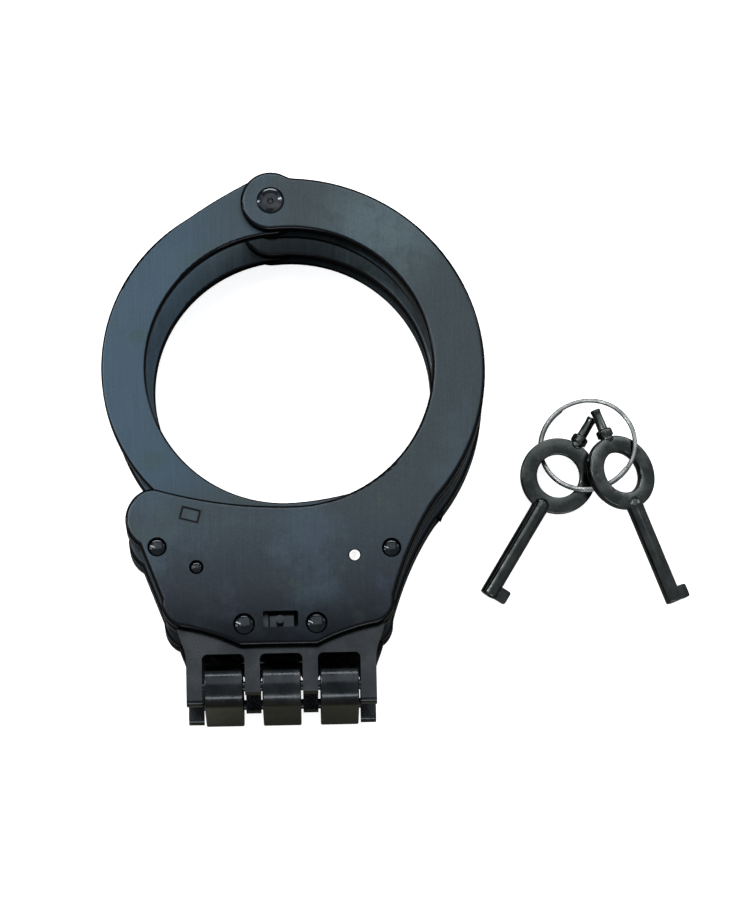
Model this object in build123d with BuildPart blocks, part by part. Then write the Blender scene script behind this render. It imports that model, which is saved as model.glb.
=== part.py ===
from build123d import *
from math import acos, atan2, cos, degrees, dist, radians, sin, sqrt
import os

# Hinged handcuffs, folded flat: two cuffs joined by three links, with two keys on a split ring.
# Millimetres. The origin is the centre of the lower wrist opening on the face that the cuffs
# rest on. +Z is up through the stack, +Y runs to the strand pivots, X runs along the hinge pins.
# Each cuff piece is modelled with its cuff's outer face at Z = 0 and the cuff below it.
# The upper cuff is that model raised to the top of the stack, the lower cuff is its mirror image.

# ---- driving dimensions ----
hinge_pitch = 22.5          # distance between the two hinge pins
plate_thickness = 2.8       # each cheek plate
core_thickness = 3.7        # middle layer, which also spaces the cheek plates
strand_gap = 0.15           # between the swinging strand and each cheek plate
strand_round = 0.6
flank_bulge = 0.35          # of the strand's edge between its pivot lobe and its outer curve
core_inset = 0.7            # core's edge inside the cheek plates
leg_round = 1.0
face_round = 0.9            # rounding of a cheek plate's outer edge

pivot = (-2.3, 37.6)        # rivet that the strand swings on
pivot_shank = 2.2
pivot_head = 2.95
running_gap = 0.05          # radial clearance of every running fit
lobe_blend = 4.0            # between the pivot lobe and the arm

strand_outer_centre = (-0.7, 0.9)
strand_outer_radius = 39.2
strand_inner_centre = (0.0, 0.7)
strand_inner_radius = 30.2
tooth_pitch = 2.25          # degrees about the pivot
tooth_depth = 1.1
tooth_mesh = 0.18           # clearance between strand and pawl teeth
tooth_relief = 0.4          # degrees that the pawl's steep flanks stand back, to tilt out freely
tooth_count = 20
nose_angle = -63.75         # first tooth of the upper strand, seen from the pivot
nose_slant = 52.0           # slanted end of the strand, degrees away from radial
nose_round = 1.5
lower_notches = 1           # the lower cuff is closed one notch further

arm_outer_centre = (0.35, -0.6)
arm_outer_radius = 43.4
arm_inner_centre = (1.3, 0.2)
arm_inner_radius = 31.0

housing_x = -2.2            # middle of the lock housing
housing_bottom = -61.3
housing_side = [(29.9, -33.9), (25.9, -42.2), (22.9, -51.0)]    # right side, top to bottom
hinge_x = -1.8              # middle of the hinge
hinge_y = -69.5             # hinge pin axis
hinge_half_width = 20.5
hinge_pin_radius = 1.1
leg_end = -73.7
bar_end = -71.1
window_top = -62.7
window_pitch = 12.5
window_width = 9.2
window_corner = 1.2
link_width = 8.3
link_round = 0.35
pin_end_gap = 0.3           # hinge pin's ends inside the outer legs

large_rivets = [(-9.6, -56.7), (6.0, -56.7)]
small_rivets = [(-28.1, -39.4), (22.5, -40.5)]
large_head = 2.3
small_head = 2.05
rivet_shank = 1.3
head_recess = 0.12          # rivet heads stay this far under the face
head_seat = 0.95            # depth of the recess for a head
head_gap = 0.08
shank_gap = 0.03            # radial clearance of a rivet's shank in the plates and core

pawl_pivot = (-19.7, -44.0)
pawl_head = 1.5
pawl_shank = 1.0
pawl_boss = 2.6
pawl_lift = 7.0             # degrees between engaged and held back by the key
pawl_tooth_count = 4
pawl_first_notch = 9        # strand notch that the pawl's first tooth sits in
moving_gap = 0.2            # pawl and lock bar to each cheek plate
leaf_thickness = 0.35
leaf_gap = 0.55             # springs to each cheek plate

key_post = (14.5, -42.0)
key_post_radius = 1.15
key_flange = (1.85, 0.6)    # radius and thickness of the post's flange under the outer plate
key_nose_radius = 0.8
key_nose_recess = 0.4       # nose inside the inner plate's outer face
keyhole_gap = 0.2           # round the key's barrel
bit_gap = 0.25              # round the key's bit
slot_centre = (-1.75, -55.7)
slot_length = 7.6
slot_width = 3.5
stud = (-1.9, -55.7)
stud_radius = 0.9
stud_recess = 0.5
tab_centre = (-20.9, -32.4)
tab_size = (3.7, 2.4)
tab_turn = -15.0
tab_gap = 0.15

key_shaft_radius = 1.9
key_bore_radius = 1.05
key_bore_depth = 6.0
key_bow_radius = 8.45
key_hole_radius = 4.8
key_bow_thickness = 2.0
key_bow_round = 0.4
key_length = 31.0           # bow centre to the end of the shaft
key_bit_width = 3.1
key_bit_reach = 4.2
key_bit_thickness = 1.5
key_collar_radius = 1.75
key_collar_start = 7.2        # bow centre to the collar
key_collar_length = 3.1
key_pin_radius = 1.1
key_pin_tip = 15.1
left_key = ((60.25, -19.1, 3.1), (44.1, -45.3, 1.95), 8.0)      # bow, shaft end, roll in degrees
right_key = ((74.05, -19.1, 5.5), (85.0, -47.5, 2.95), 30.0)
ring_centre = (67.0, -12.2, 3.2)
ring_radius = 10.55
ring_wire = (1.0, 0.66)      # width and thickness of the flattened wire
coil_spacing = 0.62         # between the two turns of the ring, which press on each other
ring_tilt = 13.0
ring_high_side = -45.0      # direction in which the ring rises

# ---- sizes that follow ----
cuff_thickness = 2 * plate_thickness + core_thickness
strand_thickness = core_thickness - 2 * strand_gap
moving_thickness = core_thickness - 2 * moving_gap
leaf_width = core_thickness - 2 * leaf_gap
link_radius = cuff_thickness / 2
keyhole_radius = key_shaft_radius + keyhole_gap
keyhole_slot = (key_bit_thickness + 2 * bit_gap, key_bit_reach + bit_gap)   # width, and reach
stack_height = hinge_pitch + cuff_thickness
core_top = -plate_thickness
core_bottom = -plate_thickness - core_thickness
core_middle = -cuff_thickness / 2
plate_lobe = dist(pivot, arm_inner_centre) - arm_inner_radius
strand_lobe = dist(pivot, strand_inner_centre) - strand_inner_radius
tooth_radius = dist(pivot, strand_outer_centre) + strand_outer_radius
strand_root = dist(pivot, strand_inner_centre) + strand_inner_radius
channel_radius = tooth_radius + 0.5

os.makedirs("parts", exist_ok=True)


def polar(centre, radius, angle):
    """The point at a radius and an angle in degrees from a centre."""
    x = centre[0] + radius * cos(radians(angle))
    y = centre[1] + radius * sin(radians(angle))
    return (x, y)


def bearing(start, end):
    """The direction from one point to another, in degrees."""
    return degrees(atan2(end[1] - start[1], end[0] - start[0]))


def strand_edge(angle):
    """Distance from the pivot to the strand's outer edge, in a direction seen from the pivot."""
    offset = dist(pivot, strand_outer_centre)
    turn = radians(angle - bearing(pivot, strand_outer_centre))
    if turn >= 0:
        return tooth_radius
    return offset * cos(turn) + sqrt(strand_outer_radius**2 - (offset * sin(turn)) ** 2)


def across(x):
    """The point on the housing's other side, level with x."""
    return 2 * housing_x - x


def save(shape, name):
    shape.label = name
    export_step(shape, f"parts/{name}.step")


def place(shape, cuff):
    """The piece in the upper or the lower cuff."""
    with BuildPart() as placed:
        if cuff == "upper":
            with Locations((0, 0, stack_height)):
                add(shape)
        else:
            mirror(shape, about=Plane.XY)
    return placed.part


def cheek_outline():
    """Outline of a cheek plate: lock housing, right arm and pivot lobe."""
    side_top = polar(arm_outer_centre, arm_outer_radius, -42)
    side_low = housing_side[-1]
    corner = (21.9, -54.9)
    corner_end = (19.0, -57.0)
    shoulder = (12.4, -58.7)
    foot = (6.2, housing_bottom)
    arm_start = polar(arm_outer_centre, arm_outer_radius, bearing(arm_outer_centre, pivot))
    inner_low = polar(arm_inner_centre, arm_inner_radius, -90)
    inner_turn = 90 + bearing(arm_inner_centre, pivot)
    with BuildSketch() as outline:
        with BuildLine():
            turn = -42 - bearing(arm_outer_centre, pivot)
            CenterArc(arm_outer_centre, arm_outer_radius, bearing(arm_outer_centre, pivot), turn)
            Spline(side_top, *housing_side)
            ThreePointArc(side_low, corner, corner_end)
            Spline(corner_end, shoulder, foot)
            Line(foot, (across(foot[0]), foot[1]))
            left_foot, left_shoulder, left_end, left_corner, left_low = [
                (across(x), y) for x, y in (foot, shoulder, corner_end, corner, side_low)
            ]
            Spline(left_foot, left_shoulder, left_end)
            ThreePointArc(left_end, left_corner, left_low)
            Line(left_low, (-31.9, -38.9))
            Spline((-31.9, -38.9), (-34.2, -36.4), (-34.9, -32.4), (-32.6, -27.9), (-28.2, -26.5))
            Spline((-28.2, -26.5), (-14.8, -29.6), inner_low, tangents=((1, -0.3), (1, 0)))
            CenterArc(arm_inner_centre, arm_inner_radius, -90, inner_turn)
            Line(polar(arm_inner_centre, arm_inner_radius, inner_turn - 90), arm_start)
        make_face()
        with Locations(pivot):
            Circle(plate_lobe)
        fillet(outline.vertices().group_by(Axis.Y)[-1], radius=lobe_blend)
    return outline.sketch


def cheek_plate():
    """A cheek plate with its rivet holes, outer face at Z = 0."""
    with BuildPart() as plate:
        with BuildSketch():
            add(cheek_outline())
        extrude(amount=-plate_thickness)
        rim = plate.faces().sort_by(Axis.Z)[-1].outer_wire().edges()
        fillet(rim, radius=face_round)
        with Locations(*large_rivets):
            CounterBoreHole(rivet_shank + shank_gap, large_head + head_gap, head_seat)
        with Locations(*small_rivets):
            CounterBoreHole(rivet_shank + shank_gap, small_head + head_gap, head_seat)
        with Locations(pivot):
            CounterBoreHole(pivot_shank + shank_gap, pivot_head + head_gap, head_seat)
        with Locations(pawl_pivot):
            CounterBoreHole(pawl_shank + shank_gap, pawl_head + head_gap, head_seat)
    return plate.part


def outer_plate():
    """The plate with the double-lock slot, the key post's seat and the guide tab's window."""
    with BuildPart() as plate:
        add(cheek_plate())
        with Locations(key_post):
            Hole(key_post_radius)
        chamfer(plate.edges().filter_by(GeomType.CIRCLE).sort_by_distance((*key_post, 0))[0], 0.25)
        with BuildSketch():
            with Locations(slot_centre):
                RectangleRounded(slot_length, slot_width, 0.5)
            with Locations(Location(tab_centre, tab_turn)):
                RectangleRounded(tab_size[0] + 2 * tab_gap, tab_size[1] + 2 * tab_gap, 0.45)
        extrude(amount=-plate_thickness, mode=Mode.SUBTRACT)
    return plate.part


def inner_plate():
    """The plate with the keyhole, turned so that its outer face looks away from the core."""
    with BuildPart() as plate:
        mirror(cheek_plate(), about=Plane.XY.offset(core_middle))
        with BuildSketch(Plane.XY.offset(-cuff_thickness)):
            with Locations(key_post):
                Circle(keyhole_radius)
            with Locations((key_post[0], key_post[1] - keyhole_slot[1] / 2)):
                Rectangle(*keyhole_slot)
        extrude(amount=plate_thickness, mode=Mode.SUBTRACT)
    return plate.part


def core():
    """Middle layer: spacer, lock pocket and the comb of hinge knuckles."""
    with BuildPart() as core_part:
        with BuildSketch(Plane.XY.offset(core_bottom)):
            with BuildLine():
                right = [(x - core_inset, y) for x, y in housing_side[1:]]
                left_low = (across(right[-1][0]), right[-1][1])
                leg_right, leg_left = [hinge_x + hinge_half_width * side for side in (1, -1)]
                flare = [(0, -64.3), (0.4, -61.0), (1.8, -57.0), (2.6, -54.0)]
                flare_right = [(leg_right + x, y) for x, y in flare]
                flare_left = [(leg_left - x, y) for x, y in flare]
                lobe_end = (-33.9, -35.6)
                Spline((33.0, -27.0), *right)
                Line(right[-1], flare_right[-1])
                Spline(*flare_right, tangents=((0, 1), (0.5, 1)))
                Polyline(flare_right[0], (leg_right, leg_end), (leg_left, leg_end), flare_left[0])
                Spline(*flare_left, tangents=((0, 1), (-0.5, 1)))
                Polyline(flare_left[-1], left_low, (-31.9 + core_inset, -38.9), lobe_end)
                Polyline(lobe_end, (-33.6, -30.5), (33.0, -27.0))
            make_face()
            with Locations(pivot):
                Circle(channel_radius, mode=Mode.SUBTRACT)
            with Locations((hinge_x, window_top)):
                with GridLocations(window_pitch, 1, 3, 1):
                    with Locations((0, -20)):
                        RectangleRounded(window_width, 40, window_corner, mode=Mode.SUBTRACT)
            with Locations((hinge_x, bar_end - 10)):
                Rectangle(2 * window_pitch, 20, mode=Mode.SUBTRACT)
        extrude(amount=core_thickness)
        ends = core_part.edges().filter_by(Axis.X).group_by(Axis.Y)[0]
        fillet(ends, radius=leg_round)
        with BuildSketch(Plane.XY.offset(core_bottom)):
            add(lock_pocket())
        extrude(amount=core_thickness, mode=Mode.SUBTRACT)
        with Locations(*[(x, y, core_top) for x, y in large_rivets + small_rivets]):
            Hole(rivet_shank + shank_gap)
        with BuildSketch(Plane.YZ.offset(hinge_x)):
            with Locations((hinge_y, core_middle)):
                Circle(hinge_pin_radius)
        extrude(amount=hinge_half_width + 1, both=True, mode=Mode.SUBTRACT)
    return core_part.part


def lock_pocket():
    """The space in the core for the pawl, the lock bar, their springs and the key's bit."""
    with BuildSketch() as pocket:
        with BuildLine():
            Polyline(
                (-23.0, -42.0), (-23.0, -48.6), (-13.6, -48.6), (-13.6, -55.1), (-7.5, -55.1),
                (-7.5, -53.8), (-4.4, -53.8), (-4.4, -57.7), (3.9, -57.7), (3.9, -53.8),
                (10.2, -53.8), (10.2, -49.2), (12.8, -49.2), (12.8, -46.0), (14.0, -45.6),
                (14.0, -38.5), (9.5, -36.0), (-8.2, -36.0), (-8.2, -38.8), (-12.5, -40.4),
                (-17.0, -40.8), close=True,
            )
        make_face()
        with Locations(key_post):
            Circle(keyhole_slot[1] + 0.1)
        with Locations(pawl_pivot):
            Circle(pawl_boss + 0.3)
    return pocket.sketch


def from_pawl(point):
    """A point of the engaged pawl, seen from its own pivot."""
    return (point[0] - pawl_pivot[0], point[1] - pawl_pivot[1])


def pawl():
    """Toothed pawl, held back by pawl_lift degrees as it is while the key turns."""
    turn = radians(-pawl_lift)
    held = Plane((*pawl_pivot, core_middle), x_dir=(cos(turn), sin(turn), 0), z_dir=(0, 0, 1))
    face = tooth_radius + tooth_mesh
    last = notch_angle(pawl_first_notch + pawl_tooth_count)
    with BuildPart() as pawl_part:
        with BuildSketch(held):
            with BuildLine():
                right = polar(pivot, face, notch_angle(pawl_first_notch) + 1)
                left = polar(pivot, face, last)
                edge = polar(pivot, face, (notch_angle(pawl_first_notch) + 1 + last) / 2)
                tail = [right, (8.5, -40.6), (12.1, -41.8), (12.1, -43.6), (10.5, -44.6)]
                boss_low = (pawl_pivot[0], pawl_pivot[1] - pawl_boss)
                boss_top = (pawl_pivot[0], pawl_pivot[1] + pawl_boss)
                heel = [boss_low, boss_top, (-12.6, -41.1), (-8.0, -39.6), left]
                ThreePointArc(from_pawl(left), from_pawl(edge), from_pawl(right))
                Polyline(*[from_pawl(point) for point in tail + heel])
            make_face()
            Circle(pawl_boss)
            for notch in range(pawl_first_notch, pawl_first_notch + pawl_tooth_count):
                steep = notch_angle(notch)
                flank = tooth_depth * (1 - tooth_relief / tooth_pitch)
                tip = polar(pivot, tooth_radius - flank + tooth_mesh, steep - tooth_relief)
                base = polar(pivot, face + 0.2, steep - tooth_relief / 2)
                ramp = polar(pivot, face + 0.2, notch_angle(notch + 1))
                with BuildLine():
                    Polyline(from_pawl(tip), from_pawl(base), from_pawl(ramp), close=True)
                make_face()
            Circle(pawl_shank + running_gap, mode=Mode.SUBTRACT)
        extrude(amount=moving_thickness / 2, both=True)
    return pawl_part.part


def notch_angle(number):
    """Direction of a notch's steep face on the upper strand, seen from the pivot."""
    return nose_angle - number * tooth_pitch


def strand(extra_notches):
    """The swinging single strand, closed by some notches more than the upper one."""
    lobe_angle = bearing(pivot, strand_outer_centre)
    lean = degrees(acos((strand_outer_radius - strand_lobe) / dist(pivot, strand_outer_centre)))
    shoulder_angle = lobe_angle + 180 + lean
    inner_angle = bearing(pivot, strand_inner_centre)
    nose = polar(pivot, tooth_radius, nose_angle)
    slant = radians(nose_slant)
    reach = tooth_radius * cos(slant) - sqrt(strand_root**2 - (tooth_radius * sin(slant)) ** 2)
    point = polar(nose, reach, nose_angle + 180 - nose_slant)
    point_angle = bearing(pivot, point)
    turned = extra_notches * tooth_pitch
    with BuildPart() as strand_part:
        with BuildSketch() as outline:
            with BuildLine():
                outer_turn = lobe_angle + 360 - shoulder_angle
                CenterArc(strand_outer_centre, strand_outer_radius, shoulder_angle, outer_turn)
                CenterArc(pivot, tooth_radius, lobe_angle, nose_angle - lobe_angle)
                Line(nose, point)
                CenterArc(pivot, strand_root, point_angle, inner_angle - point_angle)
                CenterArc(strand_inner_centre, strand_inner_radius, inner_angle, -180)
                CenterArc(pivot, strand_lobe, inner_angle, shoulder_angle - inner_angle)
                shoulder = polar(strand_outer_centre, strand_outer_radius, shoulder_angle)
                foot = polar(pivot, strand_lobe, shoulder_angle)
                middle = ((foot[0] + shoulder[0]) / 2, (foot[1] + shoulder[1]) / 2)
                ThreePointArc(foot, polar(middle, flank_bulge, shoulder_angle), shoulder)
            make_face()
            fillet(outline.vertices().sort_by_distance(point)[0], radius=nose_round)
        extrude(amount=strand_thickness)
        flat_edges = strand_part.faces().filter_by(Axis.Z).edges()
        fillet(flat_edges, radius=strand_round)
        with BuildSketch():
            for number in range(tooth_count):
                steep, ramp = notch_angle(number), notch_angle(number + 1)
                with BuildLine():
                    Polyline(
                        polar(pivot, strand_edge(steep) - tooth_depth, steep),
                        polar(pivot, strand_edge(steep) + 1, steep),
                        polar(pivot, strand_edge(ramp) + 1, ramp),
                        polar(pivot, strand_edge(ramp), ramp),
                        close=True,
                    )
                make_face()
        extrude(amount=strand_thickness, mode=Mode.SUBTRACT)
        with Locations(pivot):
            Hole(pivot_shank + running_gap)
    with BuildPart() as seated:
        with Locations((0, 0, core_middle - strand_thickness / 2)):
            add(strand_part.part.rotate(Axis((*pivot, 0), (0, 0, 1)), turned))
    return seated.part


def rivet(head, shank):
    """A rivet with a domed head in each cheek plate's recess."""
    with BuildPart() as rivet_part:
        with BuildSketch(Plane.XZ):
            with BuildLine():
                crown = -head_recess
                ThreePointArc((0, crown), (head * 0.6, crown - 0.17), (head, crown - 0.55))
                under_head = [(head, -head_seat), (shank, -head_seat), (shank, core_middle)]
                Polyline((head, crown - 0.55), *under_head, (0, core_middle), (0, crown))
            make_face()
        revolve(axis=Axis.Z)
        mirror(about=Plane.XY.offset(core_middle))
    return rivet_part.part


def housing_rivets():
    """The four rivets that close the lock housing."""
    with BuildPart() as rivets:
        with Locations(*large_rivets):
            add(rivet(large_head, rivet_shank))
        with Locations(*small_rivets):
            add(rivet(small_head, rivet_shank))
    return rivets.part


def pawl_pin():
    """Rivet that the pawl turns on."""
    with BuildPart() as pin:
        with Locations(pawl_pivot):
            add(rivet(pawl_head, pawl_shank))
    return pin.part


def pivot_rivet():
    """Strand pivot with dished heads and a centre dimple."""
    with BuildPart() as pin:
        with BuildSketch(Plane.XZ):
            with BuildLine():
                Polyline(
                    (0, -0.75), (0.45, -0.7), (0.7, -0.42), (1.7, -0.3), (2.45, -head_recess),
                    (pivot_head - 0.1, -0.25), (pivot_head, -0.45), (pivot_head, -head_seat),
                    (pivot_shank, -head_seat), (pivot_shank, core_middle), (0, core_middle), close=True,
                )
            make_face()
        revolve(axis=Axis.Z)
        mirror(about=Plane.XY.offset(core_middle))
    with BuildPart() as seated:
        with Locations(pivot):
            add(pin.part)
    return seated.part


def post():
    """Key post: riveted in the outer plate, with a nose in the keyhole for the key's barrel."""
    with BuildPart() as post_part:
        with BuildSketch(Plane.XY.offset(-head_recess)):
            with Locations(key_post):
                Circle(key_post_radius)
        extrude(amount=-cuff_thickness / 2)
        with BuildSketch(Plane.XY.offset(core_top)):
            with Locations(key_post):
                Circle(key_flange[0])
        extrude(amount=-key_flange[1])
        with BuildSketch(Plane.XY.offset(-cuff_thickness + key_nose_recess)):
            with Locations(key_post):
                Circle(key_nose_radius)
        extrude(amount=cuff_thickness / 2)
    return post_part.part


def guide_tab():
    """Small block let into the outer plate over the strand's way in."""
    with BuildPart() as tab:
        with BuildSketch(Plane.XY.offset(-head_recess)):
            with Locations(Location(tab_centre, tab_turn)):
                RectangleRounded(*tab_size, 0.35)
        extrude(amount=-(plate_thickness - 2 * head_recess))
    return tab.part


def lock_bar():
    """Double-lock bar with its stud in the outer plate's slot."""
    with BuildPart() as bar:
        with BuildSketch(Plane.XY.offset(core_middle)):
            with BuildLine():
                Polyline(
                    (-12.6, -53.5), (-4.1, -53.5), (-4.1, -57.4), (1.1, -57.4), (1.1, -53.5),
                    (7.4, -53.5), (7.4, -50.9), (5.4, -50.9), (5.4, -49.6), (2.2, -49.6),
                    (2.2, -50.9), (-12.6, -50.9), close=True,
                )
            make_face()
        extrude(amount=moving_thickness / 2, both=True)
        with BuildSketch(Plane.XY.offset(core_middle)):
            with Locations(stud):
                Circle(stud_radius)
        extrude(amount=cuff_thickness / 2 - stud_recess)
    return bar.part


def leaf(points):
    """A strip spring standing on edge along a bent line."""
    with BuildPart() as strip:
        with BuildSketch(Plane.XY.offset(core_middle)):
            with BuildLine():
                Polyline(*points)
            trace(line_width=leaf_thickness)
        extrude(amount=leaf_width / 2, both=True)
    return strip.part


def hinge_pin():
    """Hinge pin through the core's knuckles."""
    with BuildPart() as pin:
        with BuildSketch(Plane.YZ.offset(hinge_x)):
            with Locations((hinge_y, core_middle)):
                Circle(hinge_pin_radius)
        extrude(amount=hinge_half_width - pin_end_gap, both=True)
    return pin.part


def link(middle):
    """One hinge link, from the lower pin to the upper pin."""
    with BuildPart() as link_part:
        with BuildSketch(Plane.YZ.offset(middle - link_width / 2)):
            with Locations((hinge_y, stack_height / 2)):
                SlotCenterToCenter(hinge_pitch, 2 * link_radius, rotation=90)
                with GridLocations(1, hinge_pitch, 1, 2):
                    Circle(hinge_pin_radius + running_gap, mode=Mode.SUBTRACT)
        extrude(amount=link_width)
        sides = link_part.faces().filter_by(Axis.X)
        fillet([edge for side in sides for edge in side.outer_wire().edges()], radius=link_round)
    return link_part.part


def key(bow_centre, shaft_end, roll):
    """A barrel key: flat bow, hollow shaft with its bit, collar and pin for the double lock."""
    shaft = (Vector(shaft_end) - Vector(bow_centre)).normalized()
    side = Vector(0, 0, 1).cross(shaft).normalized()
    face = shaft.cross(side) * cos(radians(roll)) + side * sin(radians(roll))
    lying = Plane(bow_centre, x_dir=shaft, z_dir=face)
    along = Plane(bow_centre, x_dir=lying.y_dir, z_dir=shaft)
    shaft_start = key_bow_radius - 1.0
    with BuildPart() as key_part:
        with BuildSketch(lying):
            Circle(key_bow_radius)
            Circle(key_hole_radius, mode=Mode.SUBTRACT)
        extrude(amount=key_bow_thickness / 2, both=True)
        fillet(key_part.edges().filter_by(GeomType.CIRCLE), radius=key_bow_round)
        with BuildSketch(along.offset(shaft_start)):
            Circle(key_shaft_radius)
        extrude(amount=key_length - shaft_start)
        with BuildSketch(lying):
            with Locations((key_length - key_bit_width / 2, key_bit_reach / 2)):
                Rectangle(key_bit_width, key_bit_reach)
        extrude(amount=key_bit_thickness / 2, both=True)
        with BuildSketch(along.offset(key_length)):
            Circle(key_bore_radius)
        extrude(amount=-key_bore_depth, mode=Mode.SUBTRACT)
        with BuildSketch(along.offset(-key_collar_start)):
            Circle(key_collar_radius)
        extrude(amount=-key_collar_length)
        with BuildSketch(along.offset(-key_bow_radius)):
            Circle(key_pin_radius)
        extrude(amount=-(key_pin_tip - key_bow_radius))
    return key_part.part


def split_ring():
    """Double coil of round wire that carries both keys."""
    lean = radians(ring_tilt)
    low_to_high = radians(ring_high_side)
    normal = (-sin(lean) * cos(low_to_high), -sin(lean) * sin(low_to_high), cos(lean))
    tilted = Plane(ring_centre, z_dir=normal)
    section = Plane(ring_centre, x_dir=tilted.x_dir, z_dir=-tilted.y_dir)
    with BuildPart() as ring:
        with BuildSketch(section):
            with Locations((ring_radius, 0)):
                with GridLocations(1, coil_spacing, 1, 2):
                    Ellipse(ring_wire[0] / 2, ring_wire[1] / 2)
        revolve(axis=Axis(ring_centre, normal))
    return ring.part


same_in_both_cuffs = {
    "outer_plate": outer_plate(),
    "inner_plate": inner_plate(),
    "core": core(),
    "pivot_rivet": pivot_rivet(),
    "housing_rivets": housing_rivets(),
    "pawl": pawl(),
    "pawl_pin": pawl_pin(),
    "pawl_spring": leaf([(-22.4, -47.9), (-14.0, -48.1), (-9.0, -48.0), (-4.0, -47.95)]),
    "key_post": post(),
    "guide_tab": guide_tab(),
    "lock_bar": lock_bar(),
    "lock_bar_spring": leaf([(-13.2, -54.8), (-10.55, -53.8), (-7.9, -54.8)]),
    "hinge_pin": hinge_pin(),
}
for cuff, extra_notches in (("upper", 0), ("lower", lower_notches)):
    save(place(strand(extra_notches), cuff), f"{cuff}_strand")
    for name, piece in same_in_both_cuffs.items():
        save(place(piece, cuff), f"{cuff}_{name}")

for side, name in ((-1, "left"), (0, "middle"), (1, "right")):
    save(link(hinge_x + side * window_pitch), f"{name}_hinge_link")

save(key(*left_key), "left_key")
save(key(*right_key), "right_key")
save(split_ring(), "split_ring")
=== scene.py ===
import math

import bmesh
import bpy
from mathutils import Matrix, Vector


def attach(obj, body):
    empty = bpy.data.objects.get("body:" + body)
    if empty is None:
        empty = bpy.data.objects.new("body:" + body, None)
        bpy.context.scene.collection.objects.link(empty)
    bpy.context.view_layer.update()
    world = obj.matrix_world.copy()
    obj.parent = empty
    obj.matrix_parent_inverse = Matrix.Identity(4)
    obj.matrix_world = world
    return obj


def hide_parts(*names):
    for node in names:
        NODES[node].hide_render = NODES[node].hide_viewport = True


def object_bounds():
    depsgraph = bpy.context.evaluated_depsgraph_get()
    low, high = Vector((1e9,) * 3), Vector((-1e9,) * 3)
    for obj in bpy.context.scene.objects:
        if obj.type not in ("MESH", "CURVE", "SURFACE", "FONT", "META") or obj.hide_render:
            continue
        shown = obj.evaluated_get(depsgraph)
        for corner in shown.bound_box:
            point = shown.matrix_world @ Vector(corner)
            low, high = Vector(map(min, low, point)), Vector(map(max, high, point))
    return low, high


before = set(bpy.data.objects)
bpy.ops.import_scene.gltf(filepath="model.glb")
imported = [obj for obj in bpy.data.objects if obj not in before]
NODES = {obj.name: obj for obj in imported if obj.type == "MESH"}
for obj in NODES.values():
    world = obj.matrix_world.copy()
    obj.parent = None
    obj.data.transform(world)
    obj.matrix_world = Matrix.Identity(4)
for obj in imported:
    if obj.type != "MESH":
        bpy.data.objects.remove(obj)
CAD_LOW, CAD_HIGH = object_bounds()
MM = 0.001
CUFFS = ("upper", "lower")

# Tint of the steel's reflections at a grazing view: dull for satin bluing, brighter for gloss black.
SATIN_GRAZING = (0.35, 0.35, 0.35, 1.0)
GLOSS_GRAZING = (0.62, 0.62, 0.56, 1.0)

FLOOR_REACH = 3.0  # from the middle of the floor to each edge
FLOOR_DROP = 0.2 * MM  # keeps the floor off the steel
SKY_COLOUR = (0.9, 0.95, 1.0, 1)
SKY_STRENGTH = 0.45
CAMERA_PLACE = (0.003277, -0.286230, 1.201942)
CAMERA_FORWARD = (0.013413, 0.222706, -0.974793)
CAMERA_UP = (0.019196, 0.974644, 0.222936)
CAMERA_LENS = 221.6
CAMERA_SENSOR = 36.0

bl_info = {
    "name": "Hinged cuffs finish",
    "version": (1, 0, 0),
    "blender": (4, 5, 0),
    "location": "3D View > Sidebar > Cuffs",
    "description": "Blued and gloss black finishes, barrel keys and split ring for the folded cuffs",
    "category": "Object",
}


# ---- shader maths ----
class Shade:
    """A shader socket, with Python operators that add the matching nodes."""

    def __init__(self, finish, socket):
        self.finish, self.socket = finish, socket

    def maths(self, operation, *values):
        if self.socket.type == "VECTOR":
            return self.finish.node("VectorMath", {"operation": operation}, *values)
        return self.finish.node("Math", {"operation": operation}, *values)

    def __add__(self, other):
        return self.maths("ADD", self, other)

    def __radd__(self, other):
        return self.maths("ADD", other, self)

    def __sub__(self, other):
        return self.maths("SUBTRACT", self, other)

    def __rsub__(self, other):
        return self.maths("SUBTRACT", other, self)

    def __mul__(self, other):
        return self.maths("MULTIPLY", self, other)

    def __rmul__(self, other):
        return self.maths("MULTIPLY", other, self)

    def __pow__(self, other):
        return self.maths("POWER", self, other)

    def __abs__(self):
        return self.maths("ABSOLUTE", self)


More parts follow.
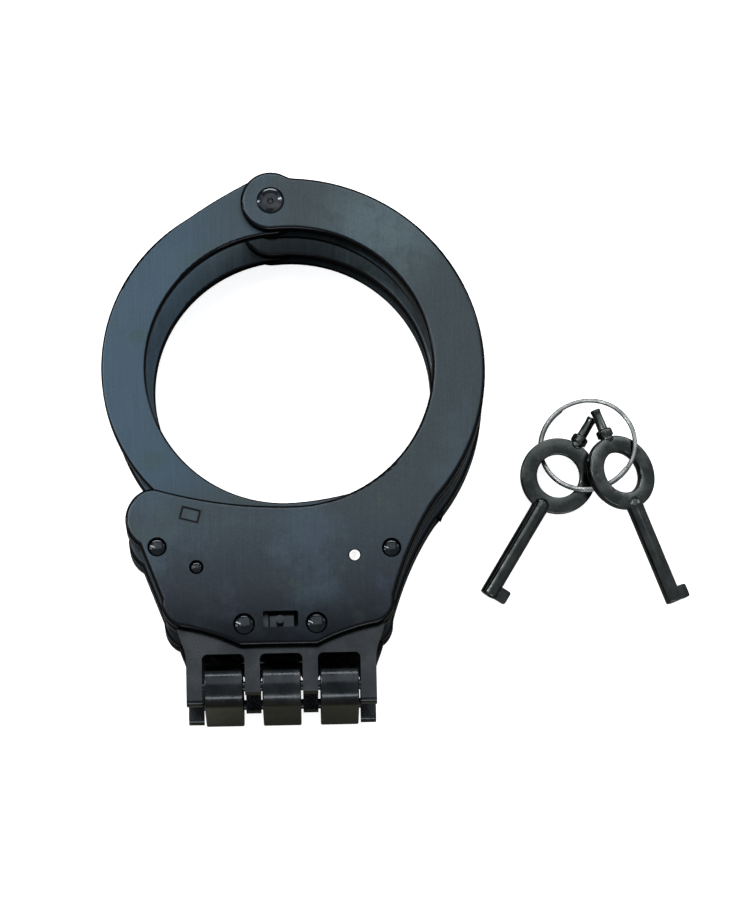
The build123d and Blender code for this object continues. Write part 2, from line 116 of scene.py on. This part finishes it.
class Finish:
    """A procedural material under construction."""

    def __init__(self, name):
        self.material = bpy.data.materials.new(name)
        self.material.use_nodes = True
        self.tree = self.material.node_tree
        self.tree.nodes.clear()

    def node(self, kind, settings=None, *values, out=0, **sockets):
        """A node of a kind, with its settings, and the values or links of its sockets."""
        made = self.tree.nodes.new("ShaderNode" + kind)
        for key, value in (settings or {}).items():
            if key == "stops":
                ramp = made.color_ramp
                while len(ramp.elements) < len(value):
                    ramp.elements.new(0.5)
                for element, (place, shade) in zip(ramp.elements, value):
                    element.position = place
                    element.color = (*shade, 1) if isinstance(shade, tuple) else (shade,) * 3 + (1,)
            else:
                setattr(made, key, value)
        for place, value in [*enumerate(values), *sockets.items()]:
            if isinstance(place, str):
                name = place.replace("_", " ")
                target = next(s for s in made.inputs if s.enabled and s.name == name)
            else:
                target = made.inputs[place]
            if isinstance(value, Shade):
                self.tree.links.new(value.socket, target)
            else:
                target.default_value = value
        shown = [s for s in made.outputs if s.enabled]
        return Shade(self, made.outputs[out] if isinstance(out, str) else shown[out])

    def part(self, vector, axis):
        """One component of a vector."""
        return self.node("SeparateXYZ", {}, vector, out="XYZ"[axis])

    def band(self, value, low, high, start=0.0, end=1.0):
        """A smooth step from start to end as value goes from low to high."""
        settings = {"interpolation_type": "SMOOTHSTEP"}
        return self.node("MapRange", settings, value, low, high, start, end)

    def blend(self, share, first, second):
        """A colour between two colours."""
        mix = self.tree.nodes.new("ShaderNodeMix")
        mix.data_type = "RGBA"
        self.tree.links.new(share.socket, mix.inputs[0])
        for socket, value in ((mix.inputs[6], first), (mix.inputs[7], second)):
            if isinstance(value, Shade):
                self.tree.links.new(value.socket, socket)
            else:
                socket.default_value = (*value, 1)
        return Shade(self, mix.outputs[2])

    def noise(self, place, scale, detail=3.0, roughness=0.55, stretch=None):
        """Noise over a place, finer along the axes whose stretch is larger."""
        if stretch:
            place = place * stretch
        sockets = {"Vector": place, "Scale": scale, "Detail": detail, "Roughness": roughness}
        return self.node("TexNoise", {}, out="Fac", **sockets)

    def principled(self, **sockets):
        """The surface shader; a keyword's underscores stand for spaces."""
        surface = self.node("BsdfPrincipled", {}, **sockets)
        output = self.tree.nodes.new("ShaderNodeOutputMaterial")
        self.tree.links.new(surface.socket, output.inputs["Surface"])
        return self.material


def spot(finish, place, centre, radius):
    """1 at a place on the plates, fading to 0 at a radius from it."""
    across = finish.part(place, 0) - centre[0]
    along = finish.part(place, 1) - centre[1]
    return finish.band((across**2.0 + along**2.0) ** 0.5, radius, 0.2 * radius)


def tab_gap_shadow(finish, place, look):
    """Painted shadow: a dark line in the gap round the guide tab, where its window shows."""
    turn = look.tab_turn
    x = finish.part(place, 0) - look.tab_centre[0]
    y = finish.part(place, 1) - look.tab_centre[1]
    across = abs(x * math.cos(turn) + y * math.sin(turn)) - look.tab_size[0] / 2
    along = abs(y * math.cos(turn) - x * math.sin(turn)) - look.tab_size[1] / 2
    reach = across.maths("MAXIMUM", across, along)
    return finish.band(abs(reach - 0.12 * MM), 0.4 * MM, 0.1 * MM)


def blued_steel(look):
    """Satin faces with blotchy bluing and a fine up-and-down brush, with painted shade that darkens them
    towards the bottom; glossy rounded edges with painted shade in their colour, and a painted shadow line
    round the guide tab.
    """
    finish = Finish("blued_steel")
    place = finish.node("TexCoord", {}, out="Object")
    facing = finish.node("TexCoord", {}, out="Normal")
    flat = finish.band(abs(finish.part(facing, 2)), 0.9, 0.998)
    height = finish.part(place, 1)

    cloud = finish.noise(place, 48.0, detail=5.0, roughness=0.6)
    patch = finish.noise(place + (0.31, 0.17, 0.0), 110.0, detail=6.0, roughness=0.65)
    brush = finish.noise(place, 60.0, detail=3.0, roughness=0.7, stretch=(40.0, 1.3, 1.0))
    grain = finish.noise(place, 2600.0, detail=2.0)

    left = finish.band(finish.part(place, 0), 0.002, -0.030)
    # Painted shade: the plates' colour darkens towards the bottom, in two steps below the face colour.
    deep_shade_fade = finish.band(height, -0.060, -0.030)
    satin = finish.blend(deep_shade_fade, look.shadow_colour, look.housing_shade_colour)
    painted_shade_fade = finish.band(height, -0.046, -0.022)
    satin = finish.blend(painted_shade_fade, satin, look.face_colour)
    over_strand = left * finish.band(height, -0.034, -0.022)
    satin = finish.blend(over_strand, satin, look.strand_colour)
    pale = spot(finish, place, (0.022, 0.031), 0.019) * finish.band(patch, 0.3, 0.6)
    satin = finish.blend(pale * look.blotches, satin, look.pale_colour)
    for noise, low, high, strength, tint in (
        (cloud, 0.5, 0.7, 0.6, look.cool_colour),
        (patch, 0.54, 0.7, 0.5, look.violet_colour),
        (patch, 0.45, 0.32, 0.5, look.green_colour),
    ):
        share = finish.band(noise, low, high) * look.blotches * strength
        satin = finish.blend(share, satin, tint)
    streak = finish.band(brush, 0.3, 0.7, 0.93, 1.07)
    speck = finish.band(grain, 0.35, 0.7, 0.94, 1.07)
    # Painted shade: the colour also dims towards the bottom; the brush streaks and grain specks it is
    # multiplied by are the steel's own.
    shade = finish.band(height, -0.066, -0.046, 0.2, 1.0) * streak * speck
    satin = finish.node("VectorMath", {"operation": "SCALE"}, satin, Scale=shade)
    # Painted shadow: a dark line in the gap round the guide tab.
    satin = finish.blend(tab_gap_shadow(finish, place, look), satin, look.edge_and_gap_shade_colour)

    # Painted shade: faces that are not flat, the rounded edges and side walls, take the dark edge colour.
    colour = finish.blend(flat, look.edge_and_gap_shade_colour, satin)
    rough = finish.band(brush, 0.25, 0.75, 0.38, 0.46) + finish.band(cloud, 0.4, 0.7, 0.03, -0.03)
    roughness = look.edge_roughness + (rough - look.edge_roughness) * flat
    height_map = brush * 0.6 + grain * 0.4
    bump = finish.node("Bump", {}, Strength=0.10, Distance=0.00004, Height=height_map)
    return finish.principled(
        Base_Color=colour, Metallic=1.0, Roughness=roughness, Normal=bump, Specular_Tint=SATIN_GRAZING
    )


def gloss_black(look):
    """Thick glossy black oxide over a slightly pitted casting."""
    finish = Finish("gloss_black")
    place = finish.node("TexCoord", {}, out="Object")
    mottle = finish.noise(place, 160.0, detail=4.0)
    pits = finish.noise(place, 1500.0, detail=3.0, roughness=0.65)
    colour = finish.blend(finish.band(mottle, 0.35, 0.7), look.hinge_colour, look.hinge_light_colour)
    roughness = finish.band(mottle, 0.3, 0.7, 0.16, 0.27) + finish.band(pits, 0.5, 0.75, 0.0, 0.12)
    bump = finish.node("Bump", {}, Strength=0.22, Distance=0.00006, Height=pits)
    return finish.principled(
        Base_Color=colour, Metallic=1.0, Roughness=roughness, Normal=bump, Specular_Tint=GLOSS_GRAZING
    )


def polished_black(look):
    """Smooth glossy black of the rivet heads, pins and pawls."""
    finish = Finish("polished_black")
    place = finish.node("TexCoord", {}, out="Object")
    wipe = finish.noise(place, 420.0, detail=4.0)
    colour = finish.blend(finish.band(wipe, 0.4, 0.7), look.rivet_colour, look.hinge_light_colour)
    roughness = finish.band(wipe, 0.3, 0.7, 0.07, 0.15)
    bump = finish.node("Bump", {}, Strength=0.3, Distance=0.00005, Height=wipe)
    return finish.principled(
        Base_Color=colour, Metallic=1.0, Roughness=roughness, Normal=bump, Specular_Tint=GLOSS_GRAZING
    )


def bright_steel(name, colour, worn_colour, rough):
    """Bare or nickelled steel with fine wear."""
    finish = Finish(name)
    place = finish.node("TexCoord", {}, out="Object")
    wear = finish.noise(place, 380.0, detail=4.0)
    fine = finish.noise(place, 2400.0, detail=2.0)
    shade = finish.blend(finish.band(wear, 0.4, 0.68), colour, worn_colour)
    roughness = finish.band(wear, 0.3, 0.7, rough, rough + 0.12)
    bump = finish.node("Bump", {}, Strength=0.15, Distance=0.00002, Height=fine)
    return finish.principled(Base_Color=shade, Metallic=1.0, Roughness=roughness, Normal=bump)


def gunmetal(look):
    """Dark plated keys: grainy satin with brighter rubbed ridges."""
    finish = Finish("gunmetal")
    place = finish.node("TexCoord", {}, out="Object")
    cloud = finish.noise(place, 260.0, detail=4.0)
    grain = finish.noise(place, 1900.0, detail=3.0, roughness=0.7)
    shade = finish.blend(finish.band(cloud, 0.38, 0.68), look.key_colour, look.key_light_colour)
    shade = finish.blend(finish.band(grain, 0.62, 0.78) * 0.5, shade, look.key_rubbed_colour)
    roughness = finish.band(cloud, 0.3, 0.7, 0.10, 0.17) + finish.band(grain, 0.4, 0.7, 0.0, 0.06)
    bump = finish.node("Bump", {}, Strength=0.18, Distance=0.00004, Height=grain)
    return finish.principled(Base_Color=shade, Metallic=1.0, Roughness=roughness, Normal=bump)


def dimmed(colour, share):
    """A colour at a share of its brightness."""
    return tuple(share * value for value in colour)


def floor_cloth(studio):
    """A pale sweep that reads white and sends only soft light back up to the steel."""
    finish = Finish("studio_floor")
    place = finish.node("TexCoord", {}, out="Object")
    faint = finish.band(finish.noise(place, 9.0), 0.3, 0.7)
    shade = finish.blend(faint, studio.floor_colour, dimmed(studio.floor_colour, 0.98))
    white = finish.node("BsdfPrincipled", {}, Base_Color=shade, Roughness=0.9, Emission_Color=shade)
    white.socket.node.inputs["Emission Strength"].default_value = studio.floor_glow
    dim = finish.blend(faint, studio.bounce_colour, dimmed(studio.bounce_colour, 0.95))
    bounce = finish.node("BsdfPrincipled", {}, Base_Color=dim, Roughness=0.9)
    seen = finish.node("LightPath", {}, out="Is Camera Ray")
    both = finish.node("MixShader", {}, seen, bounce, white)
    output = finish.tree.nodes.new("ShaderNodeOutputMaterial")
    finish.tree.links.new(both.socket, output.inputs["Surface"])
    return finish.material


def paint(obj, material):
    """Gives an object one material."""
    obj.data.materials.clear()
    obj.data.materials.append(material)


def paint_nodes(material, *names):
    for name in names:
        paint(NODES[name], material)


# ---- mesh helpers ----
def new_piece(name, mesh_maker, body, material, replaced=()):
    """A piece from a bmesh in metres, riding on a body and standing for CAD nodes."""
    mesh = bpy.data.meshes.new(name)
    mesh_maker.normal_update()
    mesh_maker.to_mesh(mesh)
    mesh_maker.free()
    obj = bpy.data.objects.new(name, mesh)
    bpy.context.scene.collection.objects.link(obj)
    paint(obj, material)
    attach(obj, body)
    if replaced:
        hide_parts(*replaced)
    return obj


def spin_profile(bm, profile, matrix, steps, closed=False):
    """Turns a profile of (radius, height) about the matrix's Z axis; smooth faces."""
    rings = []
    for radius, height in profile:
        if radius < 1e-9:
            rings.append([bm.verts.new(matrix @ Vector((0, 0, height)))])
            continue
        ring = []
        for step in range(steps):
            angle = 2 * math.pi * step / steps
            point = Vector((radius * math.cos(angle), radius * math.sin(angle), height))
            ring.append(bm.verts.new(matrix @ point))
        rings.append(ring)
    pairs = list(zip(rings, rings[1:]))
    if closed:
        pairs.append((rings[-1], rings[0]))
    for low, high in pairs:
        for step in range(steps):
            after = (step + 1) % steps
            corners = [low[step % len(low)], low[after % len(low)]]
            corners += [high[after % len(high)], high[step % len(high)]]
            face = bm.faces.new(list(dict.fromkeys(corners)))
            face.smooth = True


def rounded(points, radius, steps=4, closed=False):
    """A line of 2-D points with its inner corners rounded."""
    count = len(points)
    made = []
    for number, corner in enumerate(points):
        if not closed and number in (0, count - 1):
            made.append(corner)
            continue
        here = Vector(corner)
        before = Vector(points[number - 1]) - here
        after = Vector(points[(number + 1) % count]) - here
        reach = min(radius, 0.45 * before.length, 0.45 * after.length)
        start, end = here + before.normalized() * reach, here + after.normalized() * reach
        for step in range(steps + 1):
            t = step / steps
            point = start * (1 - t) ** 2 + here * 2 * t * (1 - t) + end * t * t
            made.append((point.x, point.y))
    return made


def prism(bm, outline, matrix, thickness, bevel):
    """A plate with a rounded rim, centred on the matrix's XY plane."""
    before = set(bm.verts)
    bottom = [bm.verts.new(matrix @ Vector((x, y, -thickness / 2))) for x, y in outline]
    base = bm.faces.new(bottom)
    made = bmesh.ops.extrude_face_region(bm, geom=[base])
    tops = [v for v in made["geom"] if isinstance(v, bmesh.types.BMVert)]
    shift = matrix.to_3x3() @ Vector((0, 0, thickness))
    bmesh.ops.translate(bm, verts=tops, vec=shift)
    fresh = [v for v in bm.verts if v not in before]
    edges = {e for v in fresh for e in v.link_edges}
    rims = [e for e in edges if e.is_manifold and e.calc_face_angle() > 1.0]
    bmesh.ops.bevel(bm, geom=rims, offset=bevel, segments=3, affect="EDGES", profile=0.5)


# ---- keys ----
def key_axes(bow, end, roll):
    """The key's plane: X along the shaft, Z out of the bow's face."""
    shaft = (end - bow).normalized()
    side = Vector((0, 0, 1)).cross(shaft).normalized()
    face = shaft.cross(side) * math.cos(roll) + side * math.sin(roll)
    across = face.cross(shaft)
    turn = Matrix((shaft, across, face)).transposed().to_4x4()
    return Matrix.Translation(bow) @ turn


def make_key(name, bow, end, roll, size, material):
    """One barrel key: bow, shoulder, bored shaft, rounded bit, stepped collar and pin."""
    bm = bmesh.new()
    plane = key_axes(bow, end, roll)
    along = plane @ Matrix.Rotation(math.pi / 2, 4, "Y")
    outer, inner, half = size.bow_radius, size.bow_hole, size.bow_thickness / 2
    section = [(inner, -half), (outer, -half), (outer, half), (inner, half)]
    spin_profile(bm, rounded(section, 0.45 * MM, 5, closed=True), plane, 96, closed=True)

    length, radius, bore = size.length, size.shaft_radius, size.bore_radius
    start = inner + 1.2 * MM
    shaft = [
        (0, start), (radius * 0.55, start), (radius * 0.97, start + 0.9 * MM),
        (radius * 1.03, outer - 0.5 * MM), (radius, outer + 0.8 * MM), (radius, length - 0.25 * MM),
        (radius - 0.2 * MM, length), (bore + 0.12 * MM, length), (bore, length - 0.15 * MM),
        (bore, length - 6 * MM), (0, length - 6.5 * MM),
    ]
    spin_profile(bm, rounded(shaft, 0.25 * MM, 3), along, 48)

    reach, width = size.bit_reach, size.bit_width
    sill, bit_end = radius * 0.75, length - 0.05 * MM
    corners = [(bit_end, sill), (bit_end, reach), (length - width, reach), (length - width, sill)]
    prism(bm, rounded(corners, 0.55 * MM, 5), plane, size.bit_thickness, 0.18 * MM)

    pin, tip = size.pin_radius, -size.pin_tip
    seat = -(outer - 1.35 * MM)
    collar = [
        (0, seat), (0.9 * MM, seat), (1.5 * MM, seat - 0.5 * MM), (1.5 * MM, seat - 1.1 * MM),
        (1.35 * MM, seat - 1.4 * MM), (1.82 * MM, seat - 1.55 * MM), (1.82 * MM, seat - 2.9 * MM),
        (1.6 * MM, seat - 3.2 * MM), (pin, seat - 3.25 * MM), (pin * 0.94, tip + 1.2 * MM),
        (pin * 1.04, tip + 0.4 * MM), (pin, tip), (0, tip),
    ]
    spin_profile(bm, rounded(collar, 0.2 * MM, 3), along, 40)
    bmesh.ops.recalc_face_normals(bm, faces=bm.faces)
    return new_piece(name + "_finished", bm, name, material, [name])


def wire_coil(name, ring, material):
    """The split ring: one wire of nearly two turns, pressed flat on itself, with cut ends."""
    lean, rise = ring.tilt, ring.rise
    normal = Vector((-math.sin(lean) * math.cos(rise), -math.sin(lean) * math.sin(rise), math.cos(lean)))
    across = Vector((1, 0, 0)) - normal * normal.x
    across.normalize()
    turn = Matrix((across, normal.cross(across), normal)).transposed().to_4x4()
    plane = Matrix.Translation(Vector(ring.centre)) @ turn
    steps, sides = 240, 12
    first, last = ring.first_end, ring.first_end + ring.sweep
    crossing, crossing_reach = (first + last) / 2, math.radians(14)
    bm = bmesh.new()
    loops = []
    for step in range(steps + 1):
        angle = first + (last - first) * step / steps
        ease = min(1.0, max(-1.0, (angle - crossing) / crossing_reach))
        level = 0.5 * ring.spacing * math.sin(ease * math.pi / 2)
        thin = 0.55 if step in (0, steps) else 1.0
        outward = Vector((math.cos(angle), math.sin(angle), 0))
        centre = outward * ring.radius + Vector((0, 0, level))
        loop = []
        for side in range(sides):
            spin = 2 * math.pi * side / sides
            offset = outward * (math.cos(spin) * ring.wire_width / 2)
            offset.z = math.sin(spin) * ring.wire_thickness / 2
            loop.append(bm.verts.new(plane @ (centre + offset * thin)))
        loops.append(loop)
    for low, high in zip(loops, loops[1:]):
        for side in range(sides):
            after = (side + 1) % sides
            bm.faces.new((low[side], low[after], high[after], high[side])).smooth = True
    bm.faces.new(loops[0])
    bm.faces.new(loops[-1])
    bmesh.ops.recalc_face_normals(bm, faces=bm.faces)
    return new_piece(name + "_coil", bm, name, material, [name])


# ---- settings ----
def colour_property(name, description, value):
    return bpy.props.FloatVectorProperty(
        name=name, description=description, subtype="COLOR", size=3, min=0, max=1, default=value
    )


def length_property(name, description, millimetres):
    return bpy.props.FloatProperty(
        name=name, description=description, unit="LENGTH", subtype="DISTANCE", precision=5,
        default=millimetres * MM,
    )


def place_property(name, description, default):
    return bpy.props.FloatVectorProperty(
        name=name, description=description, subtype="TRANSLATION", size=len(default), default=default
    )


def angle_property(name, description, degrees):
    return bpy.props.FloatProperty(
        name=name, description=description, subtype="ANGLE", default=math.radians(degrees)
    )


def share_property(name, description, default):
    return bpy.props.FloatProperty(
        name=name, description=description, subtype="FACTOR", min=0, max=1, default=default
    )


def power_property(name, description, watts):
    return bpy.props.FloatProperty(
        name=name, description=description, unit="POWER", min=0, default=watts
    )


class CuffFinishSettings(bpy.types.PropertyGroup):
    face_colour: colour_property("Face", "Blued cheek plates", (0.044, 0.056, 0.062))
    strand_colour: colour_property("Strand", "Bluer swinging strand", (0.048, 0.073, 0.097))
    # Painted shade: the next two colours darken the cheek plates towards the bottom.
    housing_shade_colour: colour_property("Housing", "Cheek plates over the lock", (0.039, 0.050, 0.060))
    shadow_colour: colour_property("Lower face", "Cheek plates towards the hinge", (0.023, 0.027, 0.033))
    pale_colour: colour_property("Pale patch", "Worn patch by the pivot", (0.079, 0.110, 0.120))
    cool_colour: colour_property("Cool blotches", "Blue clouds", (0.053, 0.077, 0.101))
    violet_colour: colour_property("Violet blotches", "Violet tint of the bluing", (0.048, 0.055, 0.084))
    green_colour: colour_property("Green blotches", "Green tint of the bluing", (0.046, 0.065, 0.058))
    # Painted shade: the edge colour darkens the rounded edges, the side walls and the gap round the guide
    # tab.
    edge_and_gap_shade_colour: colour_property("Edges", "Rounded edges and side walls", (0.017, 0.018, 0.020))
    hinge_colour: colour_property("Hinge", "Glossy black hinge and links", (0.024, 0.027, 0.030))
    hinge_light_colour: colour_property("Hinge, thin", "Where the black is thinner", (0.040, 0.044, 0.048))
    rivet_colour: colour_property("Rivets", "Rivet heads", (0.026, 0.030, 0.034))
    blotches: share_property("Blotches", "Strength of the clouds", 0.8)
    edge_roughness: share_property("Edge roughness", "Gloss of the edges", 0.2)
    tab_centre: place_property("Guide tab", "Its centre", (-0.0209, -0.0324))
    tab_size: bpy.props.FloatVectorProperty(
        name="Guide tab size", description="Its length and width", size=2, default=(0.0037, 0.0024)
    )
    tab_turn: angle_property("Tab turn", "Its lean in the plate", -15)


class KeySettings(bpy.types.PropertyGroup):
    key_colour: colour_property("Key", "Dark plating", (0.050, 0.057, 0.056))
    key_light_colour: colour_property("Key, thin", "Thinner plating", (0.082, 0.090, 0.088))
    key_rubbed_colour: colour_property("Key, rubbed", "Bright rubbed grain", (0.34, 0.35, 0.35))
    bow_radius: length_property("Bow radius", "Outside of the bow", 8.45)
    bow_hole: length_property("Bow hole", "Radius of the hole in the bow", 4.8)
    bow_thickness: length_property("Bow thickness", "Thickness of the bow", 2.0)
    length: length_property("Length", "Bow's centre to the shaft's end", 31.0)
    shaft_radius: length_property("Shaft radius", "Outside of the barrel", 1.9)
    bore_radius: length_property("Bore radius", "Hole in the barrel's end", 1.05)
    bit_width: length_property("Bit width", "Along the shaft", 3.1)
    bit_reach: length_property("Bit reach", "From the shaft's axis", 4.2)
    bit_thickness: length_property("Bit thickness", "Thickness of the bit", 1.5)
    pin_radius: length_property("Pin radius", "Pin for the double lock", 1.1)
    pin_tip: length_property("Pin tip", "Bow's centre to the pin's tip", 15.1)
    left_bow: place_property("Left bow", "Its centre", (0.06025, -0.0191, 0.0031))
    left_end: place_property("Left end", "Its shaft's end", (0.0441, -0.0453, 0.00195))
    left_roll: angle_property("Left roll", "Lean about its shaft", 8)
    right_bow: place_property("Right bow", "Its centre", (0.07405, -0.0191, 0.0055))
    right_end: place_property("Right end", "Its shaft's end", (0.0850, -0.0475, 0.00295))
    right_roll: angle_property("Right roll", "Lean about its shaft", 30)


class RingSettings(bpy.types.PropertyGroup):
    colour: colour_property("Wire", "Steel wire", (0.26, 0.27, 0.27))
    worn_colour: colour_property("Wire, worn", "Dull wire", (0.15, 0.16, 0.16))
    centre: place_property("Centre", "Centre of the ring", (0.067, -0.0122, 0.0032))
    radius: length_property("Radius", "Centre line of the wire", 10.55)
    wire_width: length_property("Wire width", "Across the flattened wire", 1.0)
    wire_thickness: length_property("Wire thickness", "Through the flattened wire", 0.62)
    spacing: length_property("Turn spacing", "Between the two turns", 0.62)
    tilt: angle_property("Tilt", "How far the ring leans off the floor", 13)
    rise: angle_property("Rise", "Direction of its high side", -45)
    first_end: angle_property("First end", "Where the wire starts round the ring", 121)
    sweep: angle_property("Sweep", "How far round the wire goes", 564)


class StudioSettings(bpy.types.PropertyGroup):
    floor_colour: colour_property("Floor", "Pale floor", (0.92, 0.92, 0.92))
    bounce_colour: colour_property("Floor bounce", "What the steel sees of the floor", (0.26, 0.25, 0.22))
    floor_glow: share_property("Floor glow", "Lifts the floor to white", 0.85)
    softbox_power: power_property("Softbox", "Overhead light", 2.2)
    band_power: power_property("Band", "Narrow light behind", 4.0)
    strip_power: power_property("Strips", "Side lights", 1.2)
    key_strip_power: power_property("Key strip", "Line on the shafts", 2.6)
    front_power: power_property("Front", "Low light in front", 2.6)


# ---- operators ----
class CUFFS_OT_plates(bpy.types.Operator):
    """Blues the cheek plates and strands"""

    bl_idname = "cuffs.plates"
    bl_label = "Blue the plates and strands"

    def execute(self, context):
        look = context.scene.cuff_finish
        material = blued_steel(look)
        for cuff in CUFFS:
            blued = ("outer_plate", "inner_plate", "strand", "guide_tab")
            paint_nodes(material, *[f"{cuff}_{part}" for part in blued])
        return {"FINISHED"}


class CUFFS_OT_hinge(bpy.types.Operator):
    """Blackens the cores, hinge links and hinge pins"""

    bl_idname = "cuffs.hinge"
    bl_label = "Blacken the hinge"

    def execute(self, context):
        material = gloss_black(context.scene.cuff_finish)
        paint_nodes(material, "left_hinge_link", "middle_hinge_link", "right_hinge_link")
        for cuff in CUFFS:
            paint_nodes(material, f"{cuff}_core", f"{cuff}_hinge_pin")
        return {"FINISHED"}


class CUFFS_OT_lock(bpy.types.Operator):
    """Finishes the rivets, the lock's works and the bright key posts"""

    bl_idname = "cuffs.lock"
    bl_label = "Finish rivets and lock"

    def execute(self, context):
        look = context.scene.cuff_finish
        black = polished_black(look)
        post = bright_steel("key_post_steel", (0.80, 0.80, 0.78), (0.62, 0.62, 0.6), 0.28)
        spring = bright_steel("spring_steel", (0.45, 0.45, 0.44), (0.3, 0.3, 0.3), 0.3)
        for cuff in CUFFS:
            dark = ("pivot_rivet", "housing_rivets", "pawl", "pawl_pin", "lock_bar")
            paint_nodes(black, *[f"{cuff}_{part}" for part in dark])
            paint_nodes(post, f"{cuff}_key_post")
            paint_nodes(spring, f"{cuff}_pawl_spring", f"{cuff}_lock_bar_spring")
        return {"FINISHED"}


class CUFFS_OT_keys(bpy.types.Operator):
    """Makes the two barrel keys"""

    bl_idname = "cuffs.keys"
    bl_label = "Make the keys"

    def execute(self, context):
        size = context.scene.cuff_keys
        material = gunmetal(size)
        for side in ("left", "right"):
            bow, end, roll = [getattr(size, f"{side}_{what}") for what in ("bow", "end", "roll")]
            make_key(f"{side}_key", Vector(bow), Vector(end), roll, size, material)
        return {"FINISHED"}


class CUFFS_OT_ring(bpy.types.Operator):
    """Winds the split ring"""

    bl_idname = "cuffs.ring"
    bl_label = "Wind the split ring"

    def execute(self, context):
        ring = context.scene.cuff_ring
        material = bright_steel("ring_wire", ring.colour, ring.worn_colour, 0.22)
        wire_coil("split_ring", ring, material)
        return {"FINISHED"}


class CUFFS_OT_studio(bpy.types.Operator):
    """Sets the floor, the lights and the camera"""

    bl_idname = "cuffs.studio"
    bl_label = "Set the studio"

    def execute(self, context):
        studio = context.scene.cuff_studio
        scene = context.scene
        scene.view_settings.view_transform = "Standard"

        floor_material = floor_cloth(studio)
        bm = bmesh.new()
        bmesh.ops.create_grid(bm, x_segments=8, y_segments=8, size=FLOOR_REACH)
        mesh = bpy.data.meshes.new("studio_floor")
        bm.to_mesh(mesh)
        bm.free()
        floor = bpy.data.objects.new("studio_floor", mesh)
        floor.location = (0, 0, CAD_LOW.z - FLOOR_DROP)
        scene.collection.objects.link(floor)
        paint(floor, floor_material)

        world = bpy.data.worlds.new("studio")
        world.use_nodes = True
        background = world.node_tree.nodes["Background"]
        background.inputs[0].default_value = SKY_COLOUR
        background.inputs[1].default_value = SKY_STRENGTH
        scene.world = world

        middle = (CAD_LOW + CAD_HIGH) / 2
        lights = (
            ("key_strip", (-0.52, 0.25, 0.85), 0.035, 0.6, studio.key_strip_power),
            ("softbox", (0.0, 0.35, 0.95), 0.9, 0.7, studio.softbox_power),
            ("band", (0.0, 0.78, 0.62), 1.1, 0.10, studio.band_power),
            ("left_strip", (-0.75, 0.05, 0.5), 0.12, 0.8, studio.strip_power),
            ("right_strip", (0.76, 0.46, 0.42), 0.16, 0.8, studio.strip_power),
            ("front", (0.15, -0.85, 0.3), 0.8, 0.14, studio.front_power),
        )
        for name, place, width, depth, power in lights:
            lamp = bpy.data.lights.new(name, "AREA")
            lamp.shape, lamp.size, lamp.size_y, lamp.energy = "RECTANGLE", width, depth, power
            light = bpy.data.objects.new(name, lamp)
            light.location = place
            light.rotation_euler = (Vector(place) - middle).to_track_quat("Z", "Y").to_euler()
            scene.collection.objects.link(light)

        forward, up = Vector(CAMERA_FORWARD), Vector(CAMERA_UP)
        turn = Matrix((forward.cross(up), up, -forward)).transposed().to_4x4()
        lens = bpy.data.cameras.new("camera")
        lens.sensor_width, lens.lens = CAMERA_SENSOR, CAMERA_LENS
        lens.clip_start, lens.clip_end = 0.05, 20.0
        camera = bpy.data.objects.new("camera", lens)
        camera.matrix_world = Matrix.Translation(CAMERA_PLACE) @ turn
        scene.collection.objects.link(camera)
        scene.camera = camera
        return {"FINISHED"}


OPERATORS = (
    CUFFS_OT_plates, CUFFS_OT_hinge, CUFFS_OT_lock, CUFFS_OT_keys, CUFFS_OT_ring, CUFFS_OT_studio,
)
SETTINGS = {
    "cuff_finish": CuffFinishSettings,
    "cuff_keys": KeySettings,
    "cuff_ring": RingSettings,
    "cuff_studio": StudioSettings,
}


class CUFFS_PT_panel(bpy.types.Panel):
    """Lists the steps that finish the cuffs"""

    bl_label = "Cuffs"
    bl_idname = "CUFFS_PT_panel"
    bl_space_type = "VIEW_3D"
    bl_region_type = "UI"
    bl_category = "Cuffs"

    def draw(self, context):
        for operator in OPERATORS:
            self.layout.operator(operator.bl_idname)
        for name, group in SETTINGS.items():
            box = self.layout.box()
            settings = getattr(context.scene, name)
            for key in group.__annotations__:
                box.prop(settings, key)


def register():
    for group in (*SETTINGS.values(), *OPERATORS, CUFFS_PT_panel):
        bpy.utils.register_class(group)
    for name, group in SETTINGS.items():
        setattr(bpy.types.Scene, name, bpy.props.PointerProperty(type=group))


def unregister():
    for name in SETTINGS:
        delattr(bpy.types.Scene, name)
    for group in reversed((*SETTINGS.values(), *OPERATORS, CUFFS_PT_panel)):
        bpy.utils.unregister_class(group)


def main():
    register()
    for operator in OPERATORS:
        group, name = operator.bl_idname.split(".")
        getattr(getattr(bpy.ops, group), name)()


if __name__ == "__main__":
    main()
